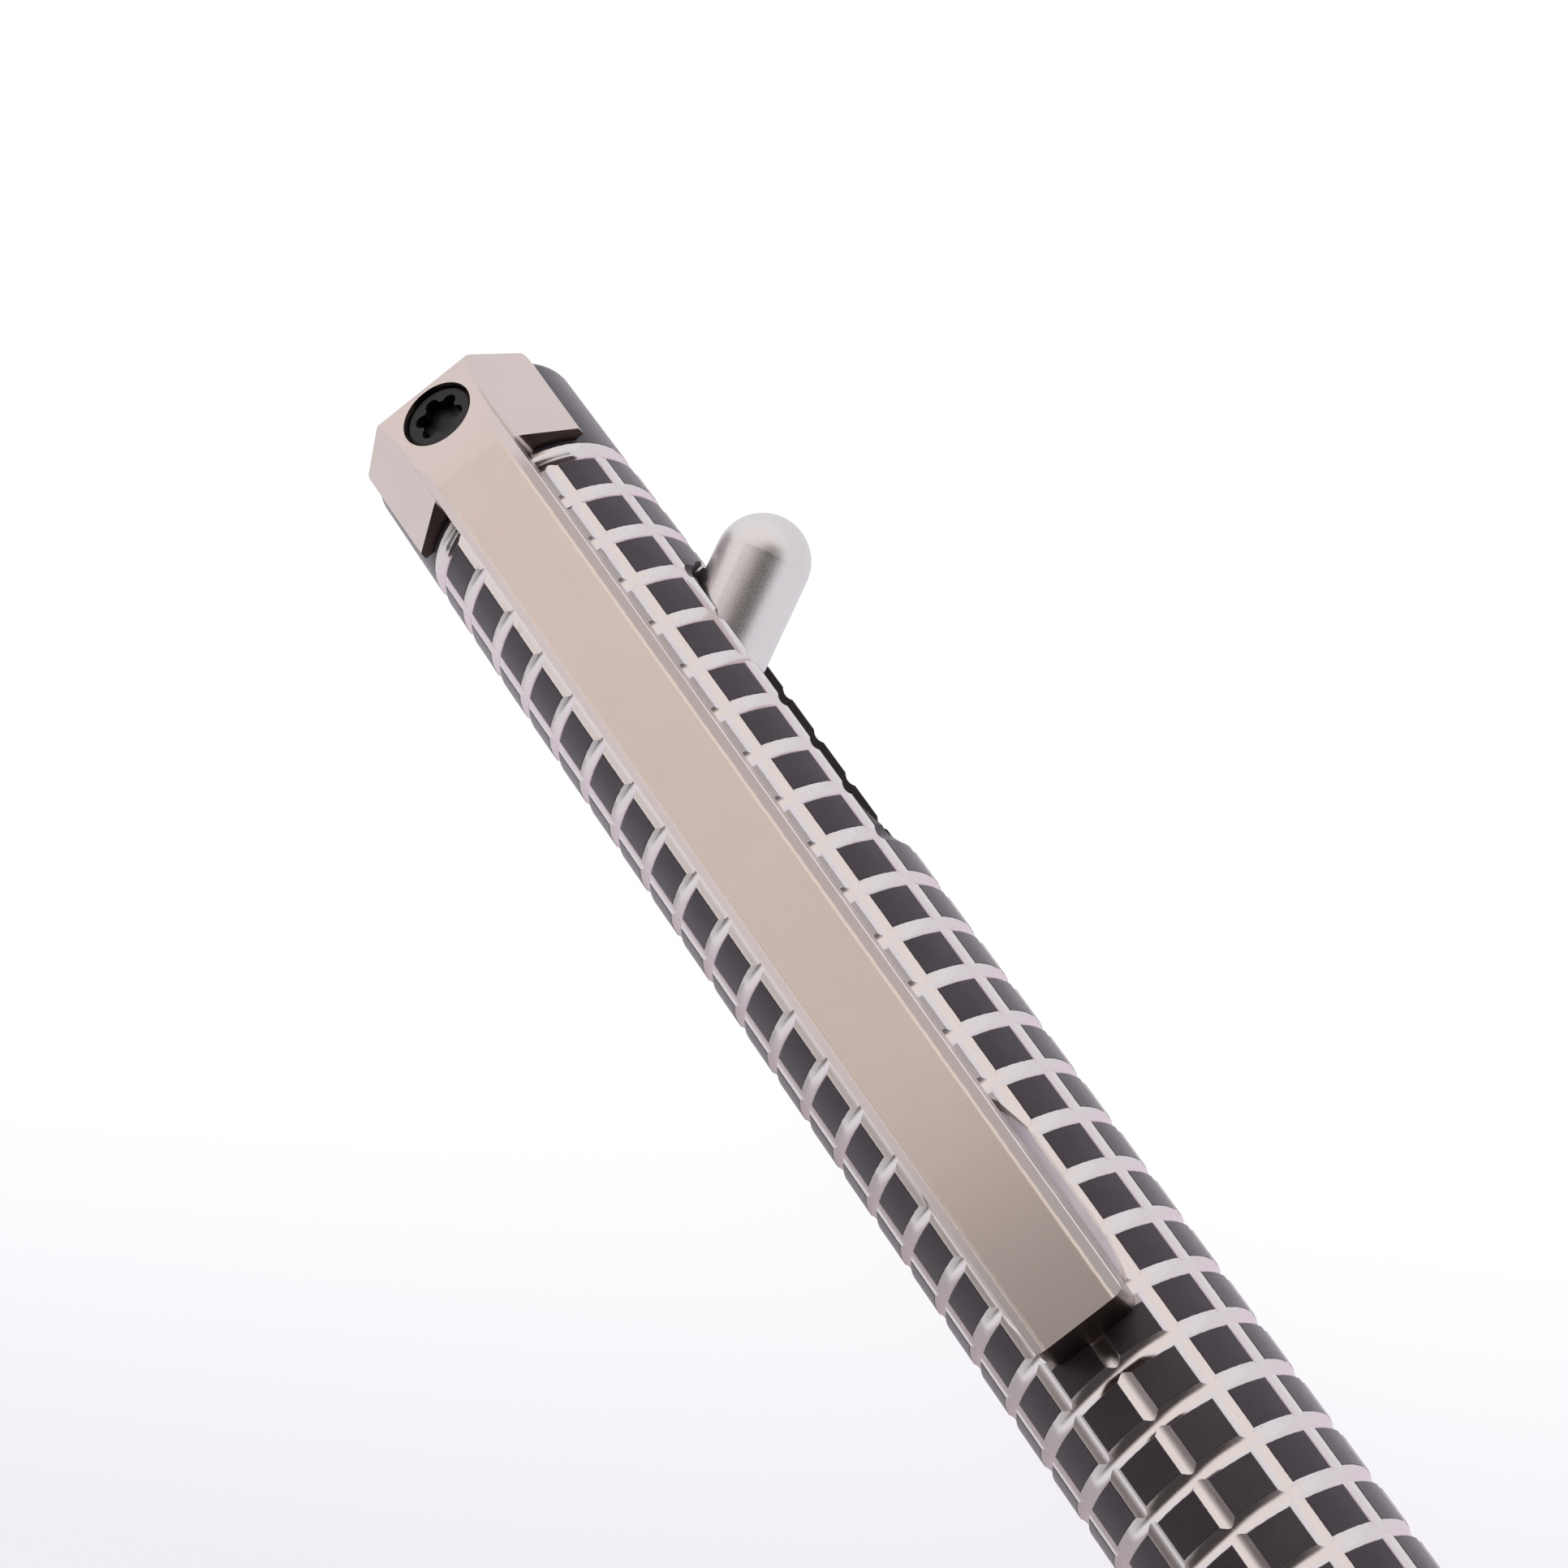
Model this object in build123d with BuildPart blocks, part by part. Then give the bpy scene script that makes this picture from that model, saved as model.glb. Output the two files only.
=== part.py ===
from build123d import *
import os
from math import atan2, cos, floor, radians, sin, sqrt, tan

os.makedirs("parts", exist_ok=True)

# A bolt action pen with a milled clip, in millimetres. The origin is the centre of the flat rear end face.
# +X runs along the pen to the writing tip, +Z points out through the clip, +Y to the side of the bolt handle.

# Driving sizes of the barrel
barrel_radius = 5.6
rear_taper_drop = 0.15
rear_taper_length = 13.5
rear_corner_radius = 0.6
bore_wall = 1.85
pocket_wall = 1.1
plunger_bore_start = 11.15
bore_end_cone = 1.4

# Ring grooves and long grooves, cut through the coating by round-nosed tools
ring_first = 6.65
ring_pitch = 2.876
ring_tool_radius = 0.83
ring_depth = 0.15
first_ring_run = 0.22
barrel_ring_count = 31
long_groove_count = 12
long_tool_radius = 0.85
long_depth = 0.13

# Bolt handle: a round pin with a domed end, leaning back towards the rear
handle_radius = 2.33
handle_rake = 30.5
handle_stand = 3.62
handle_spot_depth = 1.1
handle_shank_radius = 1.25
handle_shank_length = 4.0
handle_to_detent = 4.8
bolt_travel = 11.6

# Side slot with round ends, and the play it leaves round the handle
slot_rear_play = 0.55
slot_front_play = 0.36
slot_side_play = 0.12

# Scoop in the barrel under the front end of the clip
scoop_depth = 0.92
scoop_floor_length = 5.7
scoop_arc_radius = 8.0
scoop_behind_foot = 4.9

# Clip bar and its foot
clip_set_back = 0.3
clip_length = 59.35
clip_half_width = 2.33
clip_edge_chamfer = 0.5
clip_edge_radius = 0.12
clip_stand = 2.65
clip_gap = 0.45
clip_corner_radius = 0.65
foot_from_front = 4.5
foot_radius = 11.1
foot_gap = 0.07

# Clip head: two wings that wrap the barrel and a slope that carries the screw
head_length = 5.7
slope_drop = 1.67
slope_crest_radius = 4.0
slope_rear_radius = 0.3
wing_side_inset = 0.73
wing_shoulder_drop = 1.63
wing_foot_drop = 2.25
wing_root_rise = 1.36
wing_root_setback = 0.588
wing_edge_radius = 0.3
wing_rear_corner_radius = 0.6
wing_back_rise = 0.6
wing_back_run = 0.35
wing_fillet = 0.4

# Clip screw, square to the slope
screw_from_rear = 2.15
screw_head_radius = 1.77
screw_head_height = 1.0
screw_sink = 0.2
screw_head_chamfer = 0.12
screw_shank_radius = 1.0
screw_length = 4.2
recess_core_radius = 0.95
recess_lobe_radius = 0.38
recess_reach = 0.93
recess_depth = 0.62
recess_lobes = 6

# Plunger and its detent
plunger_rear_gap = 0.7
plunger_length = 18.0
plunger_end_chamfer = 0.4
refill_socket_depth = 2.2
detent_wall = 1.53
detent_ball_radius = 0.75
detent_spring_wire = 0.2
detent_spring_coils = 6
detent_spring_length = 3.1
detent_groove_depth = 0.15

# Standard ball pen refill
refill_length = 98.4
refill_side_room = 0.75
refill_wall = 0.35
refill_front_wall = 1.0
refill_shoulder = 12.5
refill_cap_length = 3.6
refill_cap_step = 0.1
refill_plug_length = 4.0
refill_vent_radius = 0.5
nozzle_radius = 1.2
nozzle_root_step = 0.4
nozzle_flange = 0.8
nozzle_bore_radius = 0.6
point_length = 2.6
point_end_radius = 0.47
point_bore_radius = 0.3
writing_ball_radius = 0.4
writing_ball_show = 0.22
point_protrusion = 2.6

# Nose section
spigot_length = 8.6
spigot_pocket_extra = 0.5
nose_land_least = 3.0
nose_cone_length = 11.84
nose_tip_radius = 1.85
nose_tip_round = 0.35
nose_tip_wall = 4.4
nose_bore_front_play = 0.5
joint_ring_section = 0.35
joint_ring_from_face = 1.6

# Return spring
spring_wire = 0.4
spring_coils = 10

# Clearances
seat_clearance = 0.01
thread_clearance = 0.02
sliding_clearance = 0.05
loose_clearance = 0.1
refill_play = 0.3
end_play = 0.1
cut_overrun = 2.0

# Radii and places along the pen that follow from the sizes above
plunger_bore_radius = barrel_radius - bore_wall
pocket_radius = barrel_radius - pocket_wall
spigot_radius = pocket_radius - thread_clearance
joint_x = ring_first + barrel_ring_count * ring_pitch

plunger_rear_x = plunger_bore_start + plunger_rear_gap
plunger_front_x = plunger_rear_x + plunger_length
plunger_radius = plunger_bore_radius - sliding_clearance
refill_rear_x = plunger_front_x - refill_socket_depth
detent_x = refill_rear_x - detent_wall - detent_ball_radius - thread_clearance
detent_ball_y = -(plunger_bore_radius - seat_clearance - detent_ball_radius)

handle_x = detent_x - handle_to_detent
handle_reach = barrel_radius + handle_stand
handle_seat_height = plunger_radius - handle_spot_depth
rake = radians(handle_rake)
handle_direction = Vector(-sin(rake), cos(rake), 0)
handle_plane = Plane(origin=(handle_x, 0, 0), x_dir=(0, 0, 1), z_dir=handle_direction)
handle_half_chord = handle_radius / cos(rake)
slot_rear_x = handle_x - tan(rake) * barrel_radius - handle_half_chord - slot_rear_play
slot_front_x = handle_x - tan(rake) * plunger_bore_radius + handle_half_chord + bolt_travel + slot_front_play

clip_front_x = clip_set_back + clip_length
clip_top = barrel_radius + clip_stand
clip_shoulder = clip_top - clip_edge_chamfer
clip_flat_half_width = clip_half_width - clip_edge_chamfer
clip_underside = barrel_radius + clip_gap
foot_x = clip_front_x - foot_from_front
scoop_floor = barrel_radius - scoop_depth
scoop_start_x = foot_x - scoop_behind_foot
scoop_end_x = scoop_start_x + scoop_floor_length
foot_low = scoop_floor + foot_gap

head_front_x = clip_set_back + head_length
head_rear_top = clip_top - slope_drop
wing_half_width = barrel_radius - wing_side_inset
wing_shoulder_height = barrel_radius - wing_shoulder_drop
wing_foot_height = barrel_radius - wing_foot_drop
wing_root_height = barrel_radius + wing_root_rise
wing_back_height = barrel_radius + wing_back_rise
wing_bevel = atan2(wing_half_width - clip_half_width, wing_root_height - wing_shoulder_height)
wing_root_fillet = wing_root_setback / tan(wing_bevel / 2)

slope_length = sqrt(head_length**2 + slope_drop**2)
slope_normal = Vector(-slope_drop / slope_length, 0, head_length / slope_length)
slope_direction = Vector(head_length / slope_length, 0, slope_drop / slope_length)
screw_x = clip_set_back + screw_from_rear
screw_z = head_rear_top + screw_from_rear * slope_drop / head_length
screw_plane = Plane(origin=(screw_x, 0, screw_z), x_dir=slope_direction, z_dir=slope_normal)
screw_seat_depth = screw_sink + screw_head_height
screw_bore_radius = screw_head_radius + loose_clearance + seat_clearance

refill_radius = plunger_bore_radius - refill_side_room
refill_cap_radius = refill_radius - refill_cap_step
refill_tube_bore = refill_radius - refill_wall
refill_tube_x = refill_rear_x + refill_cap_length
refill_point_x = refill_rear_x + refill_length
refill_shoulder_x = refill_point_x - refill_shoulder
nozzle_root_radius = nozzle_radius + nozzle_root_step

nose_tip_x = refill_point_x + bolt_travel - point_protrusion
nose_land_x = nose_tip_x - nose_cone_length
nose_ring_count = floor((nose_land_x - nose_land_least - joint_x) / ring_pitch)
nose_groove_end = joint_x + nose_ring_count * ring_pitch
nose_bore_radius = refill_radius + refill_play
tip_hole_radius = nozzle_radius + loose_clearance
spring_radius = (refill_radius + nozzle_radius) / 2
spring_outer_radius = spring_radius + spring_wire / 2
spring_bore_radius = spring_outer_radius + loose_clearance + sliding_clearance
spring_seat_x = nose_tip_x - nose_tip_wall
spring_bore_x = refill_shoulder_x + bolt_travel + nose_bore_front_play


def crest_radius(x):
    """Give the radius over the pads at a place along the pen, which tapers towards its rear end."""
    return barrel_radius - rear_taper_drop * max(0, rear_taper_length - x) / rear_taper_length


def ring_grooves(first_x, last_x):
    """Cut ring grooves one pitch apart into the half section in the current sketch."""
    pitches = round((last_x - first_x) / ring_pitch)
    places = [first_x + i * ring_pitch for i in range(pitches + 1)]
    with Locations([(x, crest_radius(x) + ring_tool_radius - ring_depth) for x in places]):
        Circle(ring_tool_radius, mode=Mode.SUBTRACT)


def long_grooves(start_x, end_x):
    """Cut the long grooves of the current part between two places, parallel to its crests."""
    run = end_x - start_x
    rise = crest_radius(end_x) - crest_radius(start_x)
    with BuildPart(mode=Mode.PRIVATE) as tool:
        with BuildSketch() as nose:
            with Locations((crest_radius(start_x) + long_tool_radius - long_depth, 0)):
                Circle(long_tool_radius)
        extrude(nose.sketch, amount=sqrt(run**2 + rise**2), dir=(rise, 0, run))
    with Locations(Plane.YZ.offset(start_x).location):
        with PolarLocations(0, long_groove_count):
            add(tool.part, mode=Mode.SUBTRACT)


def clip_section(section, lower_points):
    """Draw the clip's section into a sketch: the given right-hand points, the chamfered top and their mirror image."""
    right = lower_points + [(clip_half_width, clip_shoulder), (clip_flat_half_width, clip_top)]
    left = [(-y, z) for y, z in reversed(right)]
    with BuildLine() as outline:
        Polyline(*right, *left, close=True)
    make_face(outline.edges())
    fillet(section.vertices().group_by(Axis.Y)[-1], clip_edge_radius)
    fillet(section.vertices().group_by(Axis.Y)[-3], clip_edge_radius)


def coil(start, direction, length, coils, radius, wire):
    """Sweep a round wire along a helix into the current part."""
    with BuildLine() as line:
        Helix(pitch=length / coils, height=length, radius=radius, center=start, direction=direction)
    with BuildSketch(Plane(origin=line.wire() @ 0, z_dir=line.wire() % 0)) as section:
        Circle(wire / 2)
    sweep(sections=section.sketch, path=line.wire())


# Barrel: a closed, slightly tapered rear end, the plunger bore, the pocket for the nose section's spigot and the grooves
with BuildPart() as barrel:
    with BuildSketch(Plane.XY):
        with BuildLine():
            corner_top = crest_radius(rear_corner_radius)
            Line((0, 0), (0, corner_top - rear_corner_radius))
            RadiusArc((0, corner_top - rear_corner_radius), (rear_corner_radius, corner_top), rear_corner_radius)
            Polyline(
                (rear_corner_radius, corner_top),
                (rear_taper_length, barrel_radius),
                (joint_x, barrel_radius),
                (joint_x, pocket_radius),
                (joint_x - spigot_length - spigot_pocket_extra, pocket_radius),
                (joint_x - spigot_length - spigot_pocket_extra, plunger_bore_radius),
                (plunger_bore_start, plunger_bore_radius),
                (plunger_bore_start - bore_end_cone, 0),
                (0, 0),
            )
        make_face()
        ring_grooves(ring_first, joint_x)
        # The first ring groove is wider than the others
        first_middle = ring_first + first_ring_run / 2
        with Locations((first_middle, crest_radius(first_middle) + ring_tool_radius - ring_depth)):
            SlotCenterToCenter(first_ring_run, 2 * ring_tool_radius, mode=Mode.SUBTRACT)
        with Locations((detent_x, -detent_ball_y), (detent_x + bolt_travel, -detent_ball_y)):
            Circle(detent_ball_radius + detent_groove_depth, mode=Mode.SUBTRACT)
    revolve(axis=Axis.X)
    long_grooves(ring_first, rear_taper_length)
    long_grooves(rear_taper_length, joint_x)
    # Side slot for the bolt handle
    with BuildSketch(Plane.XZ):
        with Locations(((slot_rear_x + slot_front_x) / 2, 0)):
            SlotOverall(slot_front_x - slot_rear_x, 2 * (handle_radius + slot_side_play))
    extrude(amount=-barrel_radius - cut_overrun, mode=Mode.SUBTRACT)
    # Scoop under the clip's foot
    scoop_rise = scoop_depth + ring_depth
    scoop_run = sqrt(2 * scoop_arc_radius * scoop_rise - scoop_rise**2)
    with BuildSketch(Plane.XZ):
        with BuildLine():
            scoop_top = scoop_floor + scoop_rise
            RadiusArc(
                (scoop_start_x - scoop_run, scoop_top), (scoop_start_x, scoop_floor), -scoop_arc_radius
            )
            Line((scoop_start_x, scoop_floor), (scoop_end_x, scoop_floor))
            RadiusArc((scoop_end_x, scoop_floor), (scoop_end_x + scoop_run, scoop_top), -scoop_arc_radius)
            Line((scoop_end_x + scoop_run, scoop_top), (scoop_start_x - scoop_run, scoop_top))
        make_face()
    extrude(amount=barrel_radius, both=True, mode=Mode.SUBTRACT)
    # Threaded hole of the clip screw
    with BuildSketch(screw_plane):
        Circle(screw_shank_radius + thread_clearance)
    extrude(amount=-screw_seat_depth - screw_length - end_play, mode=Mode.SUBTRACT)
barrel.part.label = "barrel"
export_step(barrel.part, "parts/barrel.step")

# Clip: the bar with its foot, the winged head behind it, and the cuts that shape both
with BuildPart() as clip:
    foot_rise = clip_underside - foot_low
    foot_run = sqrt(2 * foot_radius * foot_rise - foot_rise**2)
    foot_front = foot_low + foot_radius - sqrt(foot_radius**2 - foot_from_front**2)
    bar_root_x = head_front_x + wing_fillet
    with BuildSketch(Plane.XZ):
        with BuildLine():
            Polyline(
                (foot_x - foot_run, clip_underside),
                (bar_root_x, clip_underside),
                (bar_root_x, clip_top),
                (clip_front_x, clip_top),
                (clip_front_x, foot_front),
            )
            ThreePointArc((clip_front_x, foot_front), (foot_x, foot_low), (foot_x - foot_run, clip_underside))
        make_face()
    extrude(amount=clip_half_width, both=True)
    with BuildSketch(Plane.YZ) as bar_section:
        clip_section(bar_section, [(clip_half_width, 0)])
    extrude(amount=clip_front_x, mode=Mode.INTERSECT)
    # The wings meet the bar's sides in a hollow round
    with BuildSketch(Plane.YZ.offset(clip_set_back - cut_overrun)) as head_section:
        wing_foot = (wing_half_width, wing_foot_height)
        wing_shoulder = (wing_half_width, wing_shoulder_height)
        wing_root = (clip_half_width, wing_root_height)
        clip_section(head_section, [wing_foot, wing_shoulder, wing_root])
        fillet(head_section.vertices().group_by(Axis.Y)[2], wing_root_fillet)
        fillet(head_section.vertices().group_by(Axis.Y)[1], wing_edge_radius)
    extrude(amount=bar_root_x - clip_set_back + cut_overrun)
    # Plan of the whole clip
    with BuildSketch(Plane.XY) as clip_plan:
        with BuildLine():
            Polyline(
                (clip_set_back, -wing_half_width),
                (head_front_x, -wing_half_width),
                (head_front_x, -clip_half_width),
                (clip_front_x, -clip_half_width),
                (clip_front_x, clip_half_width),
                (head_front_x, clip_half_width),
                (head_front_x, wing_half_width),
                (clip_set_back, wing_half_width),
                close=True,
            )
        make_face()
        fillet(clip_plan.vertices().sort_by_distance((head_front_x, 0))[:2], wing_fillet)
        fillet(clip_plan.vertices().group_by(Axis.X)[0], wing_rear_corner_radius)
        fillet(clip_plan.vertices().group_by(Axis.X)[-1], clip_corner_radius)
    extrude(amount=clip_top, mode=Mode.INTERSECT)
    # Slope for the screw, with a soft crest, and the back, which leans forward as it goes down
    with BuildSketch(Plane.XZ) as slope_cut:
        with BuildLine():
            Polyline(
                (clip_set_back - cut_overrun, wing_foot_height),
                (clip_set_back + wing_back_run, wing_foot_height),
                (clip_set_back, wing_back_height),
                (clip_set_back, head_rear_top),
                (head_front_x, clip_top),
                (clip_front_x, clip_top),
                (clip_front_x, clip_top + cut_overrun),
                (clip_set_back - cut_overrun, clip_top + cut_overrun),
                close=True,
            )
        make_face()
        fillet(slope_cut.vertices().sort_by_distance((head_front_x, clip_top))[0], slope_crest_radius)
        fillet(slope_cut.vertices().sort_by_distance((clip_set_back, head_rear_top))[0], slope_rear_radius)
    extrude(amount=wing_half_width, both=True, mode=Mode.SUBTRACT)
    # Saddle that sits on the barrel's taper
    with BuildSketch(Plane.XY):
        with BuildLine():
            Polyline(
                (0, 0),
                (bar_root_x, 0),
                (bar_root_x, crest_radius(bar_root_x) + seat_clearance),
                (0, crest_radius(0) + seat_clearance),
                close=True,
            )
        make_face()
    revolve(axis=Axis.X, mode=Mode.SUBTRACT)
    # Seat and hole of the clip screw
    with Locations(screw_plane.location):
        CounterBoreHole(screw_shank_radius + loose_clearance, screw_bore_radius, screw_seat_depth)
clip.part.label = "clip"
export_step(clip.part, "parts/clip.step")

# Clip screw: a low head with a six-lobe recess on a threaded shank
with BuildPart() as clip_screw:
    with BuildSketch(screw_plane.offset(-screw_seat_depth)):
        Circle(screw_head_radius)
    extrude(amount=screw_head_height)
    chamfer(clip_screw.edges().filter_by(GeomType.CIRCLE).sort_by(Axis.Z)[-1], screw_head_chamfer)
    with BuildSketch(screw_plane.offset(-screw_seat_depth)):
        Circle(screw_shank_radius)
    extrude(amount=-screw_length)
    with BuildSketch(screw_plane.offset(-screw_sink)):
        Circle(recess_core_radius)
        with PolarLocations(recess_reach, recess_lobes):
            Circle(recess_lobe_radius)
    extrude(amount=-recess_depth, mode=Mode.SUBTRACT)
clip_screw.part.label = "clip_screw"
export_step(clip_screw.part, "parts/clip_screw.step")

# Bolt handle: the domed pin and its threaded shank
with BuildPart() as bolt_handle:
    with BuildSketch(handle_plane.offset(handle_seat_height)):
        Circle(handle_radius)
    extrude(amount=handle_reach - handle_seat_height)
    with Locations(handle_plane.offset(handle_reach).location):
        Sphere(handle_radius)
    with BuildSketch(handle_plane.offset(handle_seat_height)):
        Circle(handle_shank_radius)
    extrude(amount=-handle_shank_length)
bolt_handle.part.label = "bolt_handle"
export_step(bolt_handle.part, "parts/bolt_handle.step")

# Plunger: slides in the barrel, holds the handle, the detent and the rear of the refill
with BuildPart() as plunger:
    with BuildSketch(Plane.YZ.offset(plunger_rear_x)):
        Circle(plunger_radius)
    extrude(amount=plunger_length)
    chamfer(plunger.edges().filter_by(GeomType.CIRCLE), plunger_end_chamfer)
    with BuildSketch(Plane.YZ.offset(plunger_front_x - refill_socket_depth)):
        Circle(refill_cap_radius + loose_clearance)
    extrude(amount=refill_socket_depth, mode=Mode.SUBTRACT)
    # Spot face and threaded hole of the handle
    with BuildSketch(handle_plane.offset(handle_seat_height)):
        Circle(handle_radius + loose_clearance)
    extrude(amount=plunger_radius, mode=Mode.SUBTRACT)
    with BuildSketch(handle_plane.offset(handle_seat_height)):
        Circle(handle_shank_radius + thread_clearance)
    extrude(amount=-handle_shank_length - end_play, mode=Mode.SUBTRACT)
    # Blind hole of the detent, opposite the handle
    detent_spring_y = detent_ball_y + detent_ball_radius + seat_clearance
    detent_hole_y = detent_spring_y + detent_spring_length + detent_spring_wire + seat_clearance
    with BuildSketch(Plane.ZX.offset(detent_hole_y)):
        with Locations((0, detent_x)):
            Circle(detent_ball_radius + thread_clearance)
    extrude(amount=-plunger_radius - detent_hole_y, mode=Mode.SUBTRACT)
plunger.part.label = "plunger"
export_step(plunger.part, "parts/plunger.step")

# Detent ball and the spring behind it
with BuildPart() as detent_ball:
    with Locations((detent_x, detent_ball_y, 0)):
        Sphere(detent_ball_radius)
detent_ball.part.label = "detent_ball"
export_step(detent_ball.part, "parts/detent_ball.step")

with BuildPart() as detent_spring:
    detent_coil_radius = detent_ball_radius - detent_spring_wire / 2 - thread_clearance
    detent_coil_start = (detent_x, detent_spring_y + detent_spring_wire / 2, 0)
    coil(
        detent_coil_start, (0, 1, 0), detent_spring_length, detent_spring_coils, detent_coil_radius,
        detent_spring_wire,
    )
detent_spring.part.label = "detent_spring"
export_step(detent_spring.part, "parts/detent_spring.step")

# Nose section: spigot, grooved grip, plain land and cone, bored for the refill and its spring
with BuildPart() as nose_section:
    with BuildSketch(Plane.XY):
        with BuildLine():
            Polyline(
                (joint_x - spigot_length, nose_bore_radius),
                (joint_x - spigot_length, spigot_radius),
                (joint_x, spigot_radius),
                (joint_x, barrel_radius),
                (nose_land_x, barrel_radius),
                (nose_tip_x, nose_tip_radius),
                (nose_tip_x, tip_hole_radius),
                (spring_seat_x, tip_hole_radius),
                (spring_seat_x, spring_bore_radius),
                (spring_bore_x, spring_bore_radius),
                (spring_bore_x, nose_bore_radius),
                close=True,
            )
        nose_face = make_face()
        tip_corner = nose_face.vertices().filter_by_position(Axis.X, nose_tip_x, nose_tip_x, (True, True))
        fillet(tip_corner.sort_by(Axis.Y)[-1], nose_tip_round)
        ring_grooves(joint_x, nose_groove_end)
        with Locations((joint_x - joint_ring_from_face, spigot_radius)):
            ring_seat = 2 * (joint_ring_section + seat_clearance)
            Rectangle(ring_seat, 2 * ring_seat, mode=Mode.SUBTRACT)
    revolve(axis=Axis.X)
    long_grooves(joint_x, nose_groove_end)
nose_section.part.label = "nose_section"
export_step(nose_section.part, "parts/nose_section.step")

# Sealing ring in the spigot's groove
with BuildPart() as joint_o_ring:
    ring_radius = pocket_radius - seat_clearance - joint_ring_section
    with Locations(Plane.YZ.offset(joint_x - joint_ring_from_face).location):
        Torus(ring_radius, joint_ring_section)
joint_o_ring.part.label = "joint_o_ring"
export_step(joint_o_ring.part, "parts/joint_o_ring.step")

# Return spring between the refill's shoulder and the seat in the nose
with BuildPart() as return_spring:
    spring_space = spring_seat_x - refill_shoulder_x - spring_wire - 2 * seat_clearance
    spring_start = (refill_shoulder_x + spring_wire / 2 + seat_clearance, 0, 0)
    coil(spring_start, (1, 0, 0), spring_space, spring_coils, spring_radius, spring_wire)
return_spring.part.label = "return_spring"
export_step(return_spring.part, "parts/return_spring.step")

# Refill: tube with a closed shoulder
with BuildPart() as refill_tube:
    with BuildSketch(Plane.XY):
        with BuildLine():
            Polyline(
                (refill_tube_x, refill_tube_bore),
                (refill_tube_x, refill_radius),
                (refill_shoulder_x, refill_radius),
                (refill_shoulder_x, nozzle_root_radius + seat_clearance),
                (refill_shoulder_x - refill_front_wall, nozzle_root_radius + seat_clearance),
                (refill_shoulder_x - refill_front_wall, refill_tube_bore),
                close=True,
            )
        make_face()
    revolve(axis=Axis.X)
refill_tube.part.label = "refill_tube"
export_step(refill_tube.part, "parts/refill_tube.step")

# Refill: vented rear cap with its plug
with BuildPart() as refill_rear_cap:
    with BuildSketch(Plane.YZ.offset(refill_rear_x)):
        Circle(refill_cap_radius)
    extrude(amount=refill_cap_length)
    with BuildSketch(Plane.YZ.offset(refill_tube_x)):
        Circle(refill_tube_bore - seat_clearance)
    extrude(amount=refill_plug_length)
    with BuildSketch(Plane.YZ.offset(refill_rear_x)):
        Circle(refill_vent_radius)
    extrude(amount=refill_cap_length + refill_plug_length, mode=Mode.SUBTRACT)
refill_rear_cap.part.label = "refill_rear_cap"
export_step(refill_rear_cap.part, "parts/refill_rear_cap.step")

# Refill: nozzle, with its root in the tube's shoulder
with BuildPart() as refill_nozzle:
    with BuildSketch(Plane.XY):
        with BuildLine():
            Polyline(
                (refill_shoulder_x - refill_front_wall - nozzle_flange, nozzle_bore_radius),
                (refill_shoulder_x - refill_front_wall - nozzle_flange, refill_tube_bore - seat_clearance),
                (refill_shoulder_x - refill_front_wall, refill_tube_bore - seat_clearance),
                (refill_shoulder_x - refill_front_wall, nozzle_root_radius),
                (refill_shoulder_x, nozzle_root_radius),
                (refill_shoulder_x, nozzle_radius),
                (refill_point_x - point_length, nozzle_radius),
                (refill_point_x - point_length, nozzle_bore_radius),
                close=True,
            )
        make_face()
    revolve(axis=Axis.X)
refill_nozzle.part.label = "refill_nozzle"
export_step(refill_nozzle.part, "parts/refill_nozzle.step")

# Refill: writing point, a cone with a socket for its ball
ball_x = refill_point_x - writing_ball_radius
with BuildPart() as refill_point:
    with BuildSketch(Plane.XY):
        with BuildLine():
            Polyline(
                (refill_point_x - point_length, point_bore_radius),
                (refill_point_x - point_length, nozzle_radius),
                (refill_point_x - writing_ball_show, point_end_radius),
                (refill_point_x - writing_ball_show, point_bore_radius),
                close=True,
            )
        make_face()
        with Locations((ball_x, 0)):
            Circle(writing_ball_radius + seat_clearance, mode=Mode.SUBTRACT)
    revolve(axis=Axis.X)
refill_point.part.label = "refill_point"
export_step(refill_point.part, "parts/refill_point.step")

with BuildPart() as writing_ball:
    with Locations((ball_x, 0, 0)):
        Sphere(writing_ball_radius)
writing_ball.part.label = "writing_ball"
export_step(writing_ball.part, "parts/writing_ball.step")

# Refill: the column of ink between the plug and the nozzle
with BuildPart() as refill_ink:
    ink_start = refill_tube_x + refill_plug_length
    ink_end = refill_shoulder_x - refill_front_wall - nozzle_flange
    with BuildSketch(Plane.YZ.offset(ink_start)):
        Circle(refill_tube_bore - seat_clearance)
    extrude(amount=ink_end - ink_start)
refill_ink.part.label = "refill_ink"
export_step(refill_ink.part, "parts/refill_ink.step")
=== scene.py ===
from math import cos, pi, sin

import bmesh
import bpy
from mathutils import Matrix, Vector


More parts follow.
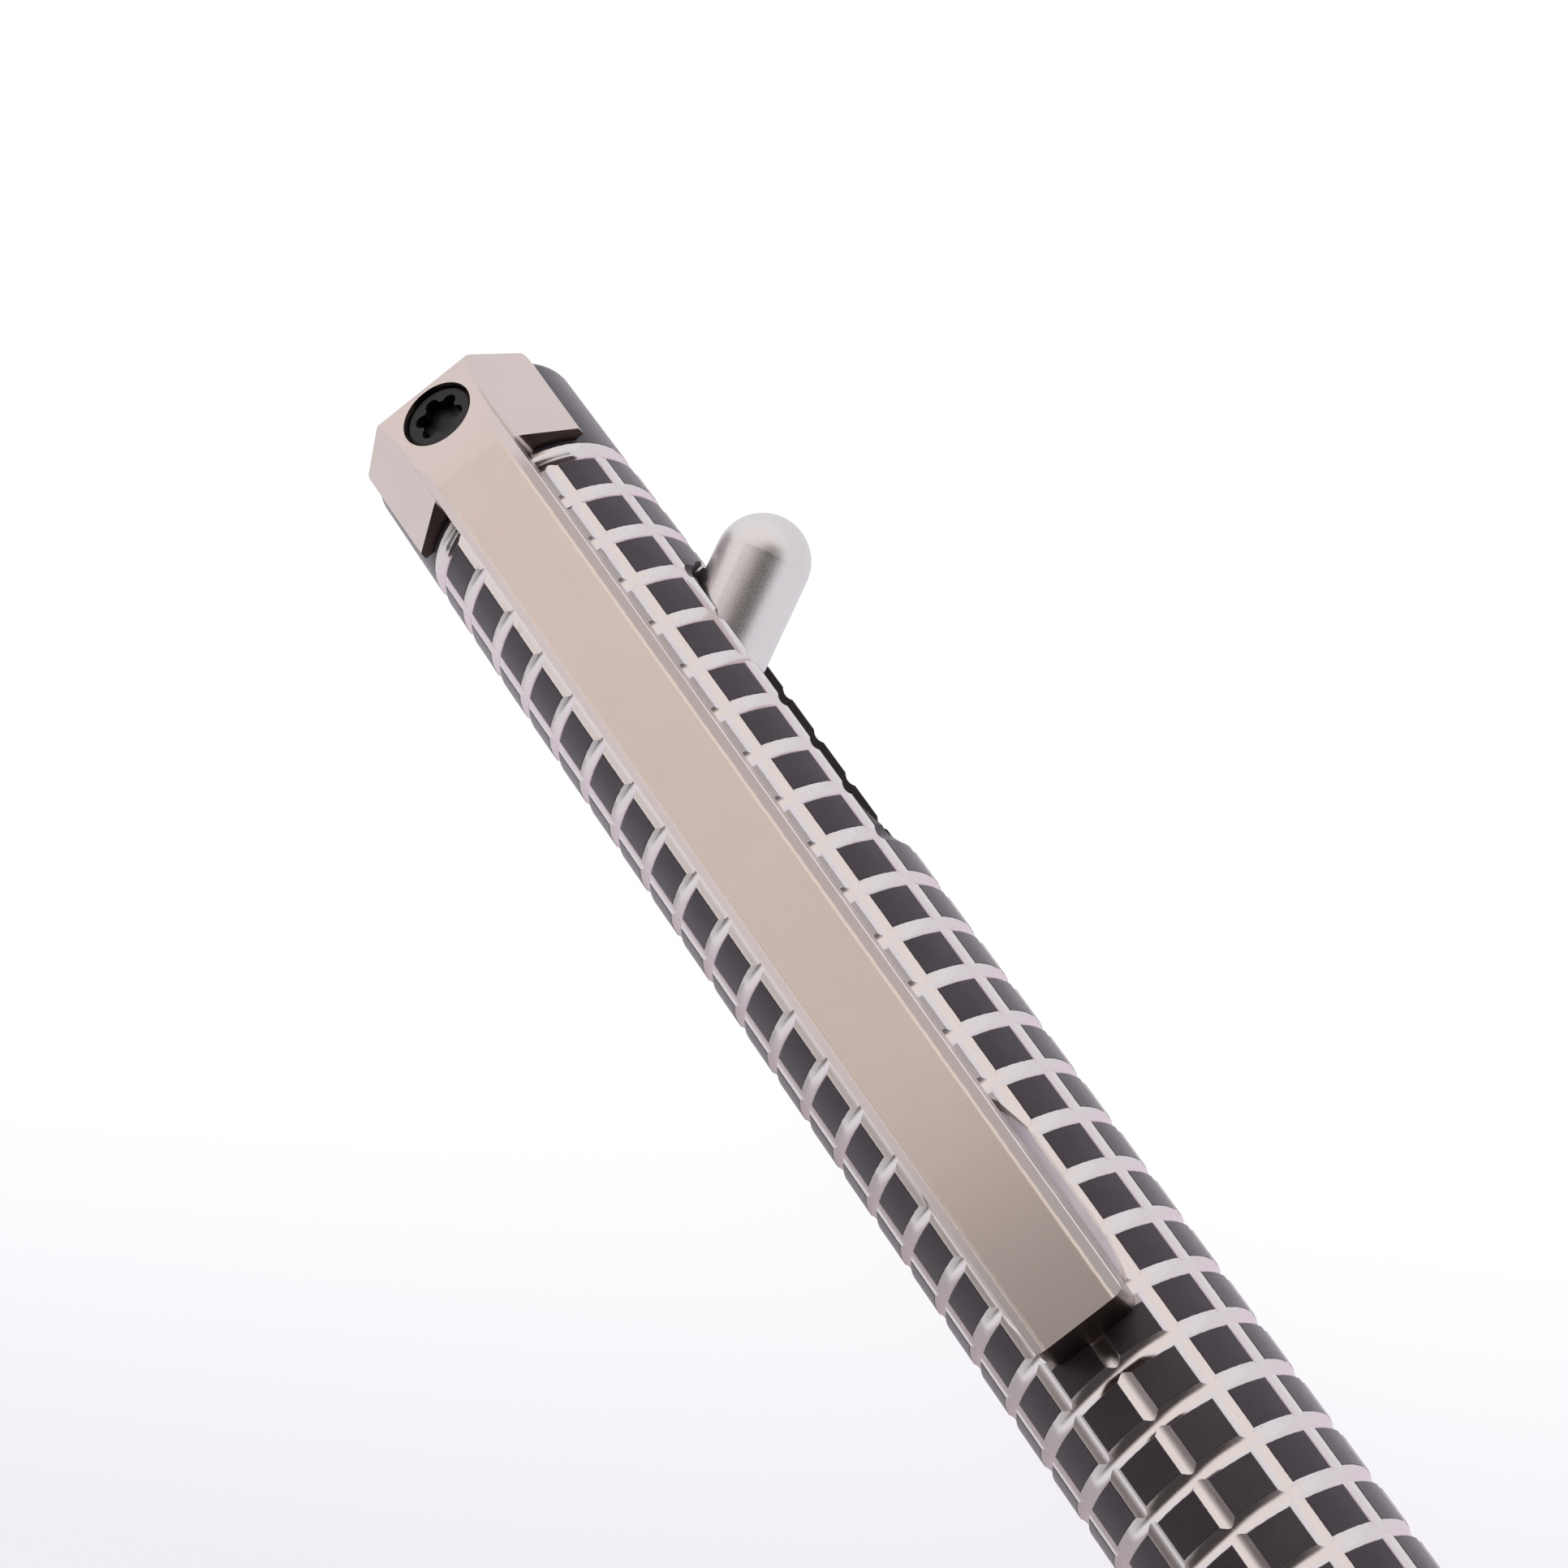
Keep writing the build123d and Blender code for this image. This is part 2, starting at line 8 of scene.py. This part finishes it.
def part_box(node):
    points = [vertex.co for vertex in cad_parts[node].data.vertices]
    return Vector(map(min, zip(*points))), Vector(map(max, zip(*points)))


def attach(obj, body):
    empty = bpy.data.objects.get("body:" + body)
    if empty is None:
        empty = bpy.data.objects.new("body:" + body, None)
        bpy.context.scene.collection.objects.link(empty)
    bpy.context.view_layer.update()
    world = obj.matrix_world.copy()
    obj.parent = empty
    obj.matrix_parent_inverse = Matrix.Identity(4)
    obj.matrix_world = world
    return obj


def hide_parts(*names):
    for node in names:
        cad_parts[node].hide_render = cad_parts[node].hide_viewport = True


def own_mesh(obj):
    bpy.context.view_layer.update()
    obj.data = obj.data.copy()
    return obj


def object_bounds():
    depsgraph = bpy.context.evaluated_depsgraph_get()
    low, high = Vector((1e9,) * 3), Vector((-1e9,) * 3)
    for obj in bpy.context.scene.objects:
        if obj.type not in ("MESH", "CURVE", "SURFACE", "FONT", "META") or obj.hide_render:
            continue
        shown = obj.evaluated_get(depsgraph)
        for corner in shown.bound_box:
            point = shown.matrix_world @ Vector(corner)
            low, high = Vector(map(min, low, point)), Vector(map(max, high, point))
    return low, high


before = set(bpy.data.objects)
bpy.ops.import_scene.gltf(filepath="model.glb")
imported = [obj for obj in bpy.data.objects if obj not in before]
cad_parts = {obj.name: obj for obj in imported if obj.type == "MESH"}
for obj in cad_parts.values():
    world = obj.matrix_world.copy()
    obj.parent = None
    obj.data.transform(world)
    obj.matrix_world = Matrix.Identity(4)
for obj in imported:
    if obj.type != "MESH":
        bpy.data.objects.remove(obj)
cad_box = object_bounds()

MM = 0.001
floor_height = cad_box[0][2]


# Camera, at the photograph's angle
camera_place = Vector((130.70, 18.63, 190.23)) * MM
camera_right = Vector((0.51298, 0.78452, -0.34838))
camera_up = Vector((-0.71138, 0.61567, 0.33894))
camera_focal, sensor_width = 106.8, 36
nearest_seen = 0.001


def make_camera():
    data = bpy.data.cameras.new("camera")
    data.lens = camera_focal
    data.sensor_width = sensor_width
    data.clip_start = nearest_seen
    camera = bpy.data.objects.new("camera", data)
    bpy.context.scene.collection.objects.link(camera)
    right = camera_right.normalized()
    back = right.cross(camera_up).normalized()
    up = back.cross(right)
    turn = Matrix((right, up, back)).transposed().to_4x4()
    camera.matrix_world = Matrix.Translation(camera_place) @ turn
    bpy.context.scene.camera = camera


make_camera()


class Nodes:
    """A small helper that adds and joins shader nodes."""

    def __init__(self, tree):
        self.tree = tree

    def add(self, kind, inputs=None, **settings):
        node = self.tree.nodes.new("ShaderNode" + kind)
        for name, value in settings.items():
            setattr(node, name, value)
        for name, value in (inputs or {}).items():
            if isinstance(value, bpy.types.NodeSocket):
                self.tree.links.new(value, node.inputs[name])
            else:
                node.inputs[name].default_value = value
        return node

    def math(self, operation, a, b=0.0, clamp=False):
        return self.add("Math", {0: a, 1: b}, operation=operation, use_clamp=clamp).outputs[0]

    def ramp(self, value, low, high, to_low=0.0, to_high=1.0):
        """value from low to high, eased to 0 and 1."""
        return self.add(
            "MapRange",
            {"Value": value, "From Min": low, "From Max": high, "To Min": to_low, "To Max": to_high},
            interpolation_type="SMOOTHSTEP",
        ).outputs["Result"]

    def mix(self, factor, a, b):
        node = self.add("Mix", data_type="RGBA")
        for index, value in ((0, factor), (6, a), (7, b)):
            if isinstance(value, bpy.types.NodeSocket):
                self.tree.links.new(value, node.inputs[index])
            else:
                node.inputs[index].default_value = value
        return node.outputs[2]

    def noise(self, vector, scale, detail=2.0, roughness=0.5):
        return self.add(
            "TexNoise", {"Vector": vector, "Scale": scale, "Detail": detail, "Roughness": roughness}
        ).outputs["Fac"]

    def stretched(self, vector, factors):
        return self.add("VectorMath", {0: vector, 1: factors}, operation="MULTIPLY").outputs[0]

    def bump(self, height, strength, distance, normal=None):
        inputs = {"Height": height, "Strength": strength, "Distance": distance}
        if normal is not None:
            inputs["Normal"] = normal
        return self.add("Bump", inputs).outputs["Normal"]


def new_material(name):
    material = bpy.data.materials.new(name)
    material.use_nodes = True
    tree = material.node_tree
    tree.nodes.clear()
    nodes = Nodes(tree)
    shader = nodes.add("BsdfPrincipled")
    output = nodes.add("OutputMaterial")
    tree.links.new(shader.outputs[0], output.inputs["Surface"])
    place = nodes.add("TexCoord").outputs["Object"]
    return material, nodes, shader, place


def rgb(red, green, blue):
    return (red, green, blue, 1.0)


def satin_metal(name, light, dark, roughness, streak=0.0, grain=0.6, grain_size=0.05):
    """Bare metal with a fine blasted grain, faint streaks along the pen and slow cloudy variation."""
    material, nodes, shader, place = new_material(name)
    link = material.node_tree.links.new
    clouds = nodes.noise(place, 1 / (4 * MM), 4.0, 0.6)
    streaks = nodes.noise(nodes.stretched(place, (0.04, 1.0, 1.0)), 1 / (0.25 * MM), 3.0, 0.6)
    speckle = nodes.noise(place, 1 / (grain_size * MM), 3.0, 0.7)
    tone = nodes.math("MULTIPLY_ADD", nodes.math("SUBTRACT", speckle, 0.5), 0.9)
    tone.node.inputs[2].default_value = 0.5
    cloudy = nodes.math("MULTIPLY", nodes.math("SUBTRACT", clouds, 0.5), 0.9)
    streaky = nodes.math("MULTIPLY", nodes.math("SUBTRACT", streaks, 0.5), streak)
    tone = nodes.math("ADD", nodes.math("ADD", tone, cloudy), streaky, True)
    link(nodes.mix(tone, dark, light), shader.inputs["Base Color"])
    shader.inputs["Metallic"].default_value = 1.0
    link(nodes.ramp(speckle, 0.3, 0.7, roughness - 0.05, roughness + 0.07), shader.inputs["Roughness"])
    relief = nodes.math("ADD", speckle, nodes.math("MULTIPLY", streaks, streak))
    link(nodes.bump(relief, grain, 0.01 * MM), shader.inputs["Normal"])
    return material


# Sizes of the barrel's cuts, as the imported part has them
crest_radius = 5.6 * MM
taper_drop = 0.15 * MM
taper_length = 13.5 * MM
first_cut_x = 6.15 * MM
last_cut_x = 119.4 * MM
cut_floor_radius = 4.6 * MM
under_clip_x, under_clip_y, under_clip_z = 59.3 * MM, 2.44 * MM, 4.4 * MM
slot_low_x, slot_high_x = 14.0 * MM, 33.0 * MM
slot_half_width = 2.46 * MM


def coated_body():
    """A matte black coat on the turned skin and in the slot, and bare metal in the cuts made through it."""
    material, nodes, shader, place = new_material("coated_body")
    link = material.node_tree.links.new
    x, y, z = nodes.add("SeparateXYZ", {0: place}).outputs
    radius = nodes.math("ADD", nodes.math("MULTIPLY", y, y), nodes.math("MULTIPLY", z, z))
    radius = nodes.math("SQRT", radius)
    taper = nodes.math("MAXIMUM", nodes.math("SUBTRACT", taper_length, x), 0.0)
    crest = nodes.math("SUBTRACT", crest_radius, nodes.math("MULTIPLY", taper, taper_drop / taper_length))
    depth = nodes.math("SUBTRACT", crest, radius)
    ragged = nodes.noise(place, 1 / (0.12 * MM), 3.0, 0.6)
    ragged = nodes.math("MULTIPLY", nodes.math("SUBTRACT", ragged, 0.42), 0.022 * MM)
    depth = nodes.math("SUBTRACT", depth, ragged)
    bare = nodes.ramp(depth, 0.020 * MM, 0.027 * MM)
    # Surfaces milled deeper than the grooves, under the clip's foot
    above = nodes.math("GREATER_THAN", z, under_clip_z)
    milled = nodes.math("MULTIPLY", nodes.ramp(depth, 0.16 * MM, 0.20 * MM), above)
    # The strip beside the clip, where the coat is thin
    strip = nodes.math("LESS_THAN", nodes.math("ABSOLUTE", y), under_clip_y)
    strip = nodes.math("MULTIPLY", strip, above)
    strip = nodes.math("MULTIPLY", strip, nodes.math("LESS_THAN", x, under_clip_x))
    bare = nodes.math("MAXIMUM", bare, nodes.math("MULTIPLY", strip, 0.62))
    for inside in (
        nodes.math("GREATER_THAN", x, first_cut_x),
        nodes.math("LESS_THAN", x, last_cut_x),
        nodes.math("GREATER_THAN", radius, cut_floor_radius),
    ):
        bare = nodes.math("MULTIPLY", bare, inside)
    slot_walls = nodes.math("LESS_THAN", nodes.math("ABSOLUTE", z), slot_half_width)
    slot_walls = nodes.math("MULTIPLY", slot_walls, nodes.math("GREATER_THAN", x, slot_low_x))
    slot_walls = nodes.math("MULTIPLY", slot_walls, nodes.math("LESS_THAN", x, slot_high_x))
    slot_walls = nodes.math("MULTIPLY", slot_walls, nodes.math("GREATER_THAN", y, 0.0))
    bare = nodes.math("MULTIPLY", bare, nodes.math("SUBTRACT", 1.0, slot_walls))
    # Coat: warm charcoal with a fine dusty speckle
    dust = nodes.noise(place, 1 / (0.05 * MM), 4.0, 0.75)
    patches = nodes.noise(place, 1 / (1.2 * MM), 3.0, 0.6)
    tone = nodes.math("ADD", nodes.math("MULTIPLY", dust, 0.7), nodes.math("MULTIPLY", patches, 0.3), True)
    coat = nodes.mix(nodes.ramp(tone, 0.3, 0.7), rgb(0.012, 0.008, 0.011), rgb(0.040, 0.031, 0.038))
    # Bare metal: bright and smooth, with faint tool lines and a few dark specks
    lines = nodes.noise(nodes.stretched(place, (0.12, 1.0, 1.0)), 1 / (0.10 * MM), 2.0, 0.5)
    specks = nodes.noise(place, 1 / (0.16 * MM), 1.0, 0.4)
    metal = nodes.mix(lines, rgb(0.67, 0.605, 0.585), rgb(0.77, 0.70, 0.675))
    metal = nodes.mix(milled, metal, rgb(0.86, 0.82, 0.88))
    metal = nodes.mix(nodes.ramp(specks, 0.80, 0.84), metal, rgb(0.20, 0.16, 0.14))
    link(nodes.mix(bare, coat, metal), shader.inputs["Base Color"])
    link(bare, shader.inputs["Metallic"])
    rough = nodes.add("Mix", data_type="FLOAT")
    link(bare, rough.inputs[0])
    link(nodes.ramp(dust, 0.3, 0.7, 0.40, 0.52), rough.inputs[2])
    smooth = nodes.ramp(lines, 0.3, 0.7, 0.13, 0.19)
    link(nodes.math("ADD", smooth, nodes.math("MULTIPLY", milled, 0.40)), rough.inputs[3])
    link(rough.outputs[0], shader.inputs["Roughness"])
    shader.inputs["Specular IOR Level"].default_value = 0.55
    shader.inputs["Sheen Weight"].default_value = 0.75
    shader.inputs["Sheen Roughness"].default_value = 0.40
    shader.inputs["Sheen Tint"].default_value = rgb(1.0, 0.93, 0.98)
    shader.inputs["Specular Tint"].default_value = rgb(1.0, 0.85, 0.93)
    relief = nodes.math("MULTIPLY", dust, nodes.math("SUBTRACT", 1.0, nodes.math("MULTIPLY", bare, 0.85)))
    link(nodes.bump(relief, 0.30, 0.01 * MM), shader.inputs["Normal"])
    return material


# Sizes of the clip's edges
clip_top_z = 8.25 * MM
clip_chamfer = 0.5 * MM
clip_half_width = 2.33 * MM
bar_start_x = 9.0 * MM
# Where the painted shade on the bar's front half begins and where it is fullest
painted_shade_from_x, painted_shade_full_x = 44 * MM, 62 * MM


def clip_body():
    """Blasted warm metal, with a painted dark reflection on the cut front faces, painted shade on one bevel
    and towards the bar's front, and painted highlight lines along its edges.
    """
    light, dark = rgb(0.73, 0.61, 0.56), rgb(0.65, 0.54, 0.495)
    material = satin_metal("clip_metal", light, dark, 0.30, 0.3, 0.35)
    tree = material.node_tree
    nodes = Nodes(tree)
    shader = next(node for node in tree.nodes if node.type == "BSDF_PRINCIPLED")
    colour = shader.inputs["Base Color"].links[0].from_socket
    rough = shader.inputs["Roughness"].links[0].from_socket
    coordinates = nodes.add("TexCoord").outputs
    x, y, z = nodes.add("SeparateXYZ", {0: coordinates["Object"]}).outputs
    facing = nodes.add("SeparateXYZ", {0: coordinates["Normal"]}).outputs
    on_bar = nodes.ramp(x, bar_start_x - 2 * MM, bar_start_x)
    # Painted shade: the bevel on the bolt's side, and the bar's front half, are painted a little darker
    # Painted shade on the bevel facing the bolt's side, picked out by its facing
    bevel = nodes.math("MULTIPLY", nodes.ramp(facing["Y"], 0.45, 0.62), nodes.ramp(facing["Y"], 0.92, 0.80))
    bevel = nodes.math("MULTIPLY", bevel, on_bar)
    colour = nodes.mix(bevel, colour, rgb(0.50, 0.405, 0.365))
    # Painted shade: the bar darkens towards its front
    colour = nodes.mix(nodes.ramp(x, painted_shade_from_x, painted_shade_full_x), colour, rgb(0.40, 0.345, 0.315))
    # Painted highlight lines along the edges of the top and along the lower edges of the bevels
    wavy = nodes.math("SUBTRACT", nodes.noise(coordinates["Object"], 1 / (0.5 * MM)), 0.5)
    wavy = nodes.math("MULTIPLY", wavy, 0.10 * MM)
    across = nodes.math("ADD", nodes.math("ABSOLUTE", y), wavy)
    on_top = nodes.ramp(z, clip_top_z - 0.2 * MM, clip_top_z - 0.1 * MM)
    top_edge_highlight = nodes.math("ABSOLUTE", nodes.math("SUBTRACT", across, clip_half_width - clip_chamfer))
    top_edge_highlight = nodes.math("MULTIPLY", nodes.ramp(top_edge_highlight, 0.11 * MM, 0.03 * MM), on_top)
    top_edge_highlight = nodes.math("MULTIPLY", nodes.math("MULTIPLY", top_edge_highlight, on_bar), 0.75)
    at_side = nodes.ramp(across, clip_half_width - 0.12 * MM, clip_half_width - 0.05 * MM)
    lower_edge_highlight = nodes.math("ABSOLUTE", nodes.math("SUBTRACT", z, clip_top_z - clip_chamfer - 0.02 * MM))
    lower_edge_highlight = nodes.math("MULTIPLY", nodes.ramp(lower_edge_highlight, 0.08 * MM, 0.03 * MM), at_side)
    lower_edge_highlight = nodes.math("MULTIPLY", lower_edge_highlight, on_bar)
    # Painted highlights: warm along the top's edges, pale along the bevels' lower edges
    colour = nodes.mix(top_edge_highlight, colour, rgb(0.80, 0.67, 0.58))
    colour = nodes.mix(lower_edge_highlight, colour, rgb(0.93, 0.86, 0.84))
    # Painted dark reflection: the face that closes the bar at the front, and every face turned forward, is
    # painted dark
    front = nodes.ramp(facing["X"], 0.80, 0.93)
    colour = nodes.mix(front, colour, rgb(0.060, 0.040, 0.034))
    tree.links.new(colour, shader.inputs["Base Color"])
    rough = nodes.math("ADD", rough, nodes.math("MULTIPLY", front, 0.12))
    tree.links.new(rough, shader.inputs["Roughness"])
    return material


def plain_part(name, light, dark, roughness, metallic=0.0, size=0.3):
    """A smaller part: two close tones in a fine noise."""
    material, nodes, shader, place = new_material(name)
    link = material.node_tree.links.new
    tone = nodes.noise(place, 1 / (size * MM), 3.0, 0.6)
    link(nodes.mix(tone, dark, light), shader.inputs["Base Color"])
    link(nodes.ramp(tone, 0.3, 0.7, roughness - 0.04, roughness + 0.05), shader.inputs["Roughness"])
    shader.inputs["Metallic"].default_value = metallic
    link(nodes.bump(tone, 0.3, 0.01 * MM), shader.inputs["Normal"])
    return material


black_coat = coated_body()
clip_metal = clip_body()
bolt_light, bolt_dark = rgb(0.80, 0.745, 0.73), rgb(0.67, 0.62, 0.61)
bolt_metal = satin_metal("bolt_metal", bolt_light, bolt_dark, 0.30, 0.2, 0.6, 0.08)
screw_black = plain_part("screw_black", rgb(0.030, 0.026, 0.028), rgb(0.010, 0.009, 0.010), 0.38, 0.6, 0.1)
bright_steel = plain_part("bright_steel", rgb(0.78, 0.77, 0.76), rgb(0.62, 0.61, 0.60), 0.18, 1.0)
seal_rubber = plain_part("seal_rubber", rgb(0.03, 0.03, 0.03), rgb(0.012, 0.012, 0.012), 0.6)
plunger_black = plain_part("plunger_black", rgb(0.035, 0.035, 0.038), rgb(0.015, 0.015, 0.017), 0.5)
refill_steel = plain_part("refill_steel", rgb(0.72, 0.71, 0.70), rgb(0.58, 0.57, 0.57), 0.28, 1.0, 1.0)
refill_plastic = plain_part("refill_plastic", rgb(0.05, 0.05, 0.055), rgb(0.025, 0.025, 0.03), 0.35)
refill_pale = plain_part("refill_pale", rgb(0.75, 0.74, 0.70), rgb(0.66, 0.65, 0.61), 0.45)
point_brass = plain_part("point_brass", rgb(0.80, 0.62, 0.33), rgb(0.66, 0.49, 0.24), 0.28, 1.0)
ink_black = plain_part("ink_black", rgb(0.02, 0.02, 0.03), rgb(0.008, 0.008, 0.012), 0.2)

finishes = {
    "barrel": black_coat,
    "nose_section": black_coat,
    "clip": clip_metal,
    "clip_screw": screw_black,
    "bolt_handle": bolt_metal,
    "plunger": plunger_black,
    "detent_ball": bright_steel,
    "detent_spring": bright_steel,
    "return_spring": bright_steel,
    "joint_o_ring": seal_rubber,
    "refill_tube": refill_steel,
    "refill_rear_cap": refill_plastic,
    "refill_nozzle": refill_pale,
    "refill_point": point_brass,
    "writing_ball": bright_steel,
    "refill_ink": ink_black,
}
for node_name, material in finishes.items():
    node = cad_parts[node_name]
    node.data.materials.clear()
    node.data.materials.append(material)


# Return spring, built as a fixed wire coil on the pen body; in the pen it shortens as the bolt goes forward
spring_wire = 0.4 * MM
spring_turns = 10
spring_ring_points = 10
spring_turn_points = 32
end_closing = 0.08


def make_return_spring():
    low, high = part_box("return_spring")
    start_x, end_x = low.x + spring_wire / 2, high.x - spring_wire / 2
    middle_radius = high.z - spring_wire / 2
    steps = spring_turns * spring_turn_points
    rings = []
    mesh = bpy.data.meshes.new("return_spring_wire")
    shape = bmesh.new()
    for step in range(steps + 1):
        share = step / steps
        # The coil climbs more slowly towards its ends
        eased = share - end_closing * sin(2 * pi * share) * (1 - share) * share * 4
        angle = 2 * pi * spring_turns * share
        around = Vector((0, cos(angle), sin(angle)))
        centre = Vector((start_x + (end_x - start_x) * eased, 0, 0)) + around * middle_radius
        ring = []
        for point in range(spring_ring_points):
            turn = 2 * pi * point / spring_ring_points
            offset = around * cos(turn) + Vector((1, 0, 0)) * sin(turn)
            ring.append(shape.verts.new(centre + offset * spring_wire / 2))
        rings.append(ring)
    for one, two in zip(rings, rings[1:]):
        for point in range(spring_ring_points):
            after = (point + 1) % spring_ring_points
            shape.faces.new((one[point], one[after], two[after], two[point]))
    shape.faces.new(rings[0][::-1])
    shape.faces.new(rings[-1])
    bmesh.ops.recalc_face_normals(shape, faces=shape.faces[:])
    for face in shape.faces:
        face.smooth = True
    shape.to_mesh(mesh)
    shape.free()
    spring = bpy.data.objects.new("return_spring_wire", mesh)
    bpy.context.scene.collection.objects.link(spring)
    spring.data.materials.append(bright_steel)
    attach(spring, "pen_body")
    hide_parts("return_spring")
    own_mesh(spring)


make_return_spring()


# Floor and light
floor_size = 1.5
white_end, lilac_end = 44 * MM, 78 * MM
white_strength, white_share = 1.12, 0.85


def make_floor():
    """A pale floor that keeps the shadow. Its glossy image carries a painted shadow beside the pen's flank.
    """
    bpy.ops.mesh.primitive_plane_add(size=floor_size, location=(0, 0, floor_height))
    floor = bpy.context.object
    floor.name = "floor"
    material = bpy.data.materials.new("floor")
    material.use_nodes = True
    tree = material.node_tree
    tree.nodes.clear()
    nodes = Nodes(tree)
    x, y, _ = nodes.add("SeparateXYZ", {0: nodes.add("TexCoord").outputs["Object"]}).outputs
    # Painted fall-off of light: the white turns a dimmer lilac towards the front
    along = nodes.math("SUBTRACT", x, y)
    ends = {"Value": along, "From Min": white_end, "From Max": lilac_end}
    lilac = nodes.add("MapRange", ends).outputs["Result"]
    tint = nodes.mix(lilac, rgb(1.0, 1.0, 1.0), rgb(0.84, 0.815, 0.88))
    diffuse = nodes.add("BsdfDiffuse", {"Color": rgb(0.90, 0.895, 0.91)}).outputs[0]
    path = nodes.add("LightPath").outputs
    # Painted shadow in the floor's glossy image, on the side away from the bolt and growing towards the
    # front
    shade = nodes.math("MULTIPLY", nodes.ramp(x, 0.0, 45 * MM), nodes.ramp(y, 0.0, -6 * MM))
    glossy = nodes.mix(shade, rgb(0.88, 0.91, 0.97), rgb(0.48, 0.47, 0.49))
    tint = nodes.mix(path["Is Glossy Ray"], tint, glossy)
    white = nodes.add("Emission", {"Color": tint, "Strength": white_strength}).outputs[0]
    seen = nodes.math("MAXIMUM", path["Is Camera Ray"], path["Is Glossy Ray"])
    share = nodes.math("MULTIPLY", nodes.math("MAXIMUM", seen, path["Is Transmission Ray"]), white_share)
    mixed = nodes.add("MixShader", {0: share, 1: diffuse, 2: white}).outputs[0]
    output = nodes.add("OutputMaterial")
    tree.links.new(mixed, output.inputs["Surface"])
    floor.data.materials.append(material)


# The studio: lilac white round the horizon, warm white above it at the rear, a dark room at the front
# on the side away from the bolt, and a dim round on the bolt's side
room_way = (0.622, -0.502, 0.602)
dim_way = (0.523, 0.381, 0.762)


def make_world():
    world = bpy.data.worlds.new("studio")
    bpy.context.scene.world = world
    world.use_nodes = True
    tree = world.node_tree
    tree.nodes.clear()
    nodes = Nodes(tree)
    direction = nodes.add("TexCoord").outputs["Generated"]
    ahead, _, up = nodes.add("SeparateXYZ", {0: direction}).outputs
    room = nodes.add("VectorMath", {0: direction, 1: room_way}, operation="DOT_PRODUCT").outputs["Value"]
    dim = nodes.add("VectorMath", {0: direction, 1: dim_way}, operation="DOT_PRODUCT").outputs["Value"]
    level = nodes.mix(nodes.ramp(up, 0.10, 0.60), rgb(0.95, 1.00, 1.08), rgb(1.03, 1.00, 0.99))
    level = nodes.mix(nodes.ramp(dim, 0.80, 0.96), level, rgb(0.20, 0.19, 0.19))
    darkness = nodes.math("MULTIPLY", nodes.ramp(room, 0.28, 0.62), nodes.ramp(up, -0.15, 0.30))
    # The room's lower part, towards its front, is lit
    lit = nodes.math("MULTIPLY", nodes.ramp(up, 0.65, 0.35), nodes.ramp(ahead, -0.25, 0.0))
    lit = nodes.math("MULTIPLY", lit, 0.6)
    darkness = nodes.math("MULTIPLY", darkness, nodes.math("SUBTRACT", 1.0, lit))
    level = nodes.mix(darkness, level, rgb(0.07, 0.062, 0.065))
    studio = nodes.add("Background", {"Color": level, "Strength": 1.0}).outputs[0]
    white = nodes.add("Background", {"Color": rgb(1.0, 1.0, 1.0), "Strength": 1.0}).outputs[0]
    seen = nodes.add("LightPath").outputs["Is Camera Ray"]
    mixed = nodes.add("MixShader", {0: seen, 1: studio, 2: white}).outputs[0]
    output = nodes.add("OutputWorld")
    tree.links.new(mixed, output.inputs["Surface"])


softbox_target = Vector((0.04, 0, 0))


def make_softbox(name, place, size, power):
    data = bpy.data.lights.new(name, "AREA")
    data.shape = "RECTANGLE"
    data.size, data.size_y = size
    data.energy = power
    lamp = bpy.data.objects.new(name, data)
    bpy.context.scene.collection.objects.link(lamp)
    lamp.location = place
    aim = softbox_target - lamp.location
    lamp.rotation_euler = aim.to_track_quat("-Z", "Y").to_euler()
    lamp.visible_glossy = False


make_floor()
make_world()
make_softbox("softbox_rear", (-0.35, 0.10, 0.35), (0.30, 0.30), 0.25)

bpy.context.scene.view_settings.view_transform = "Standard"
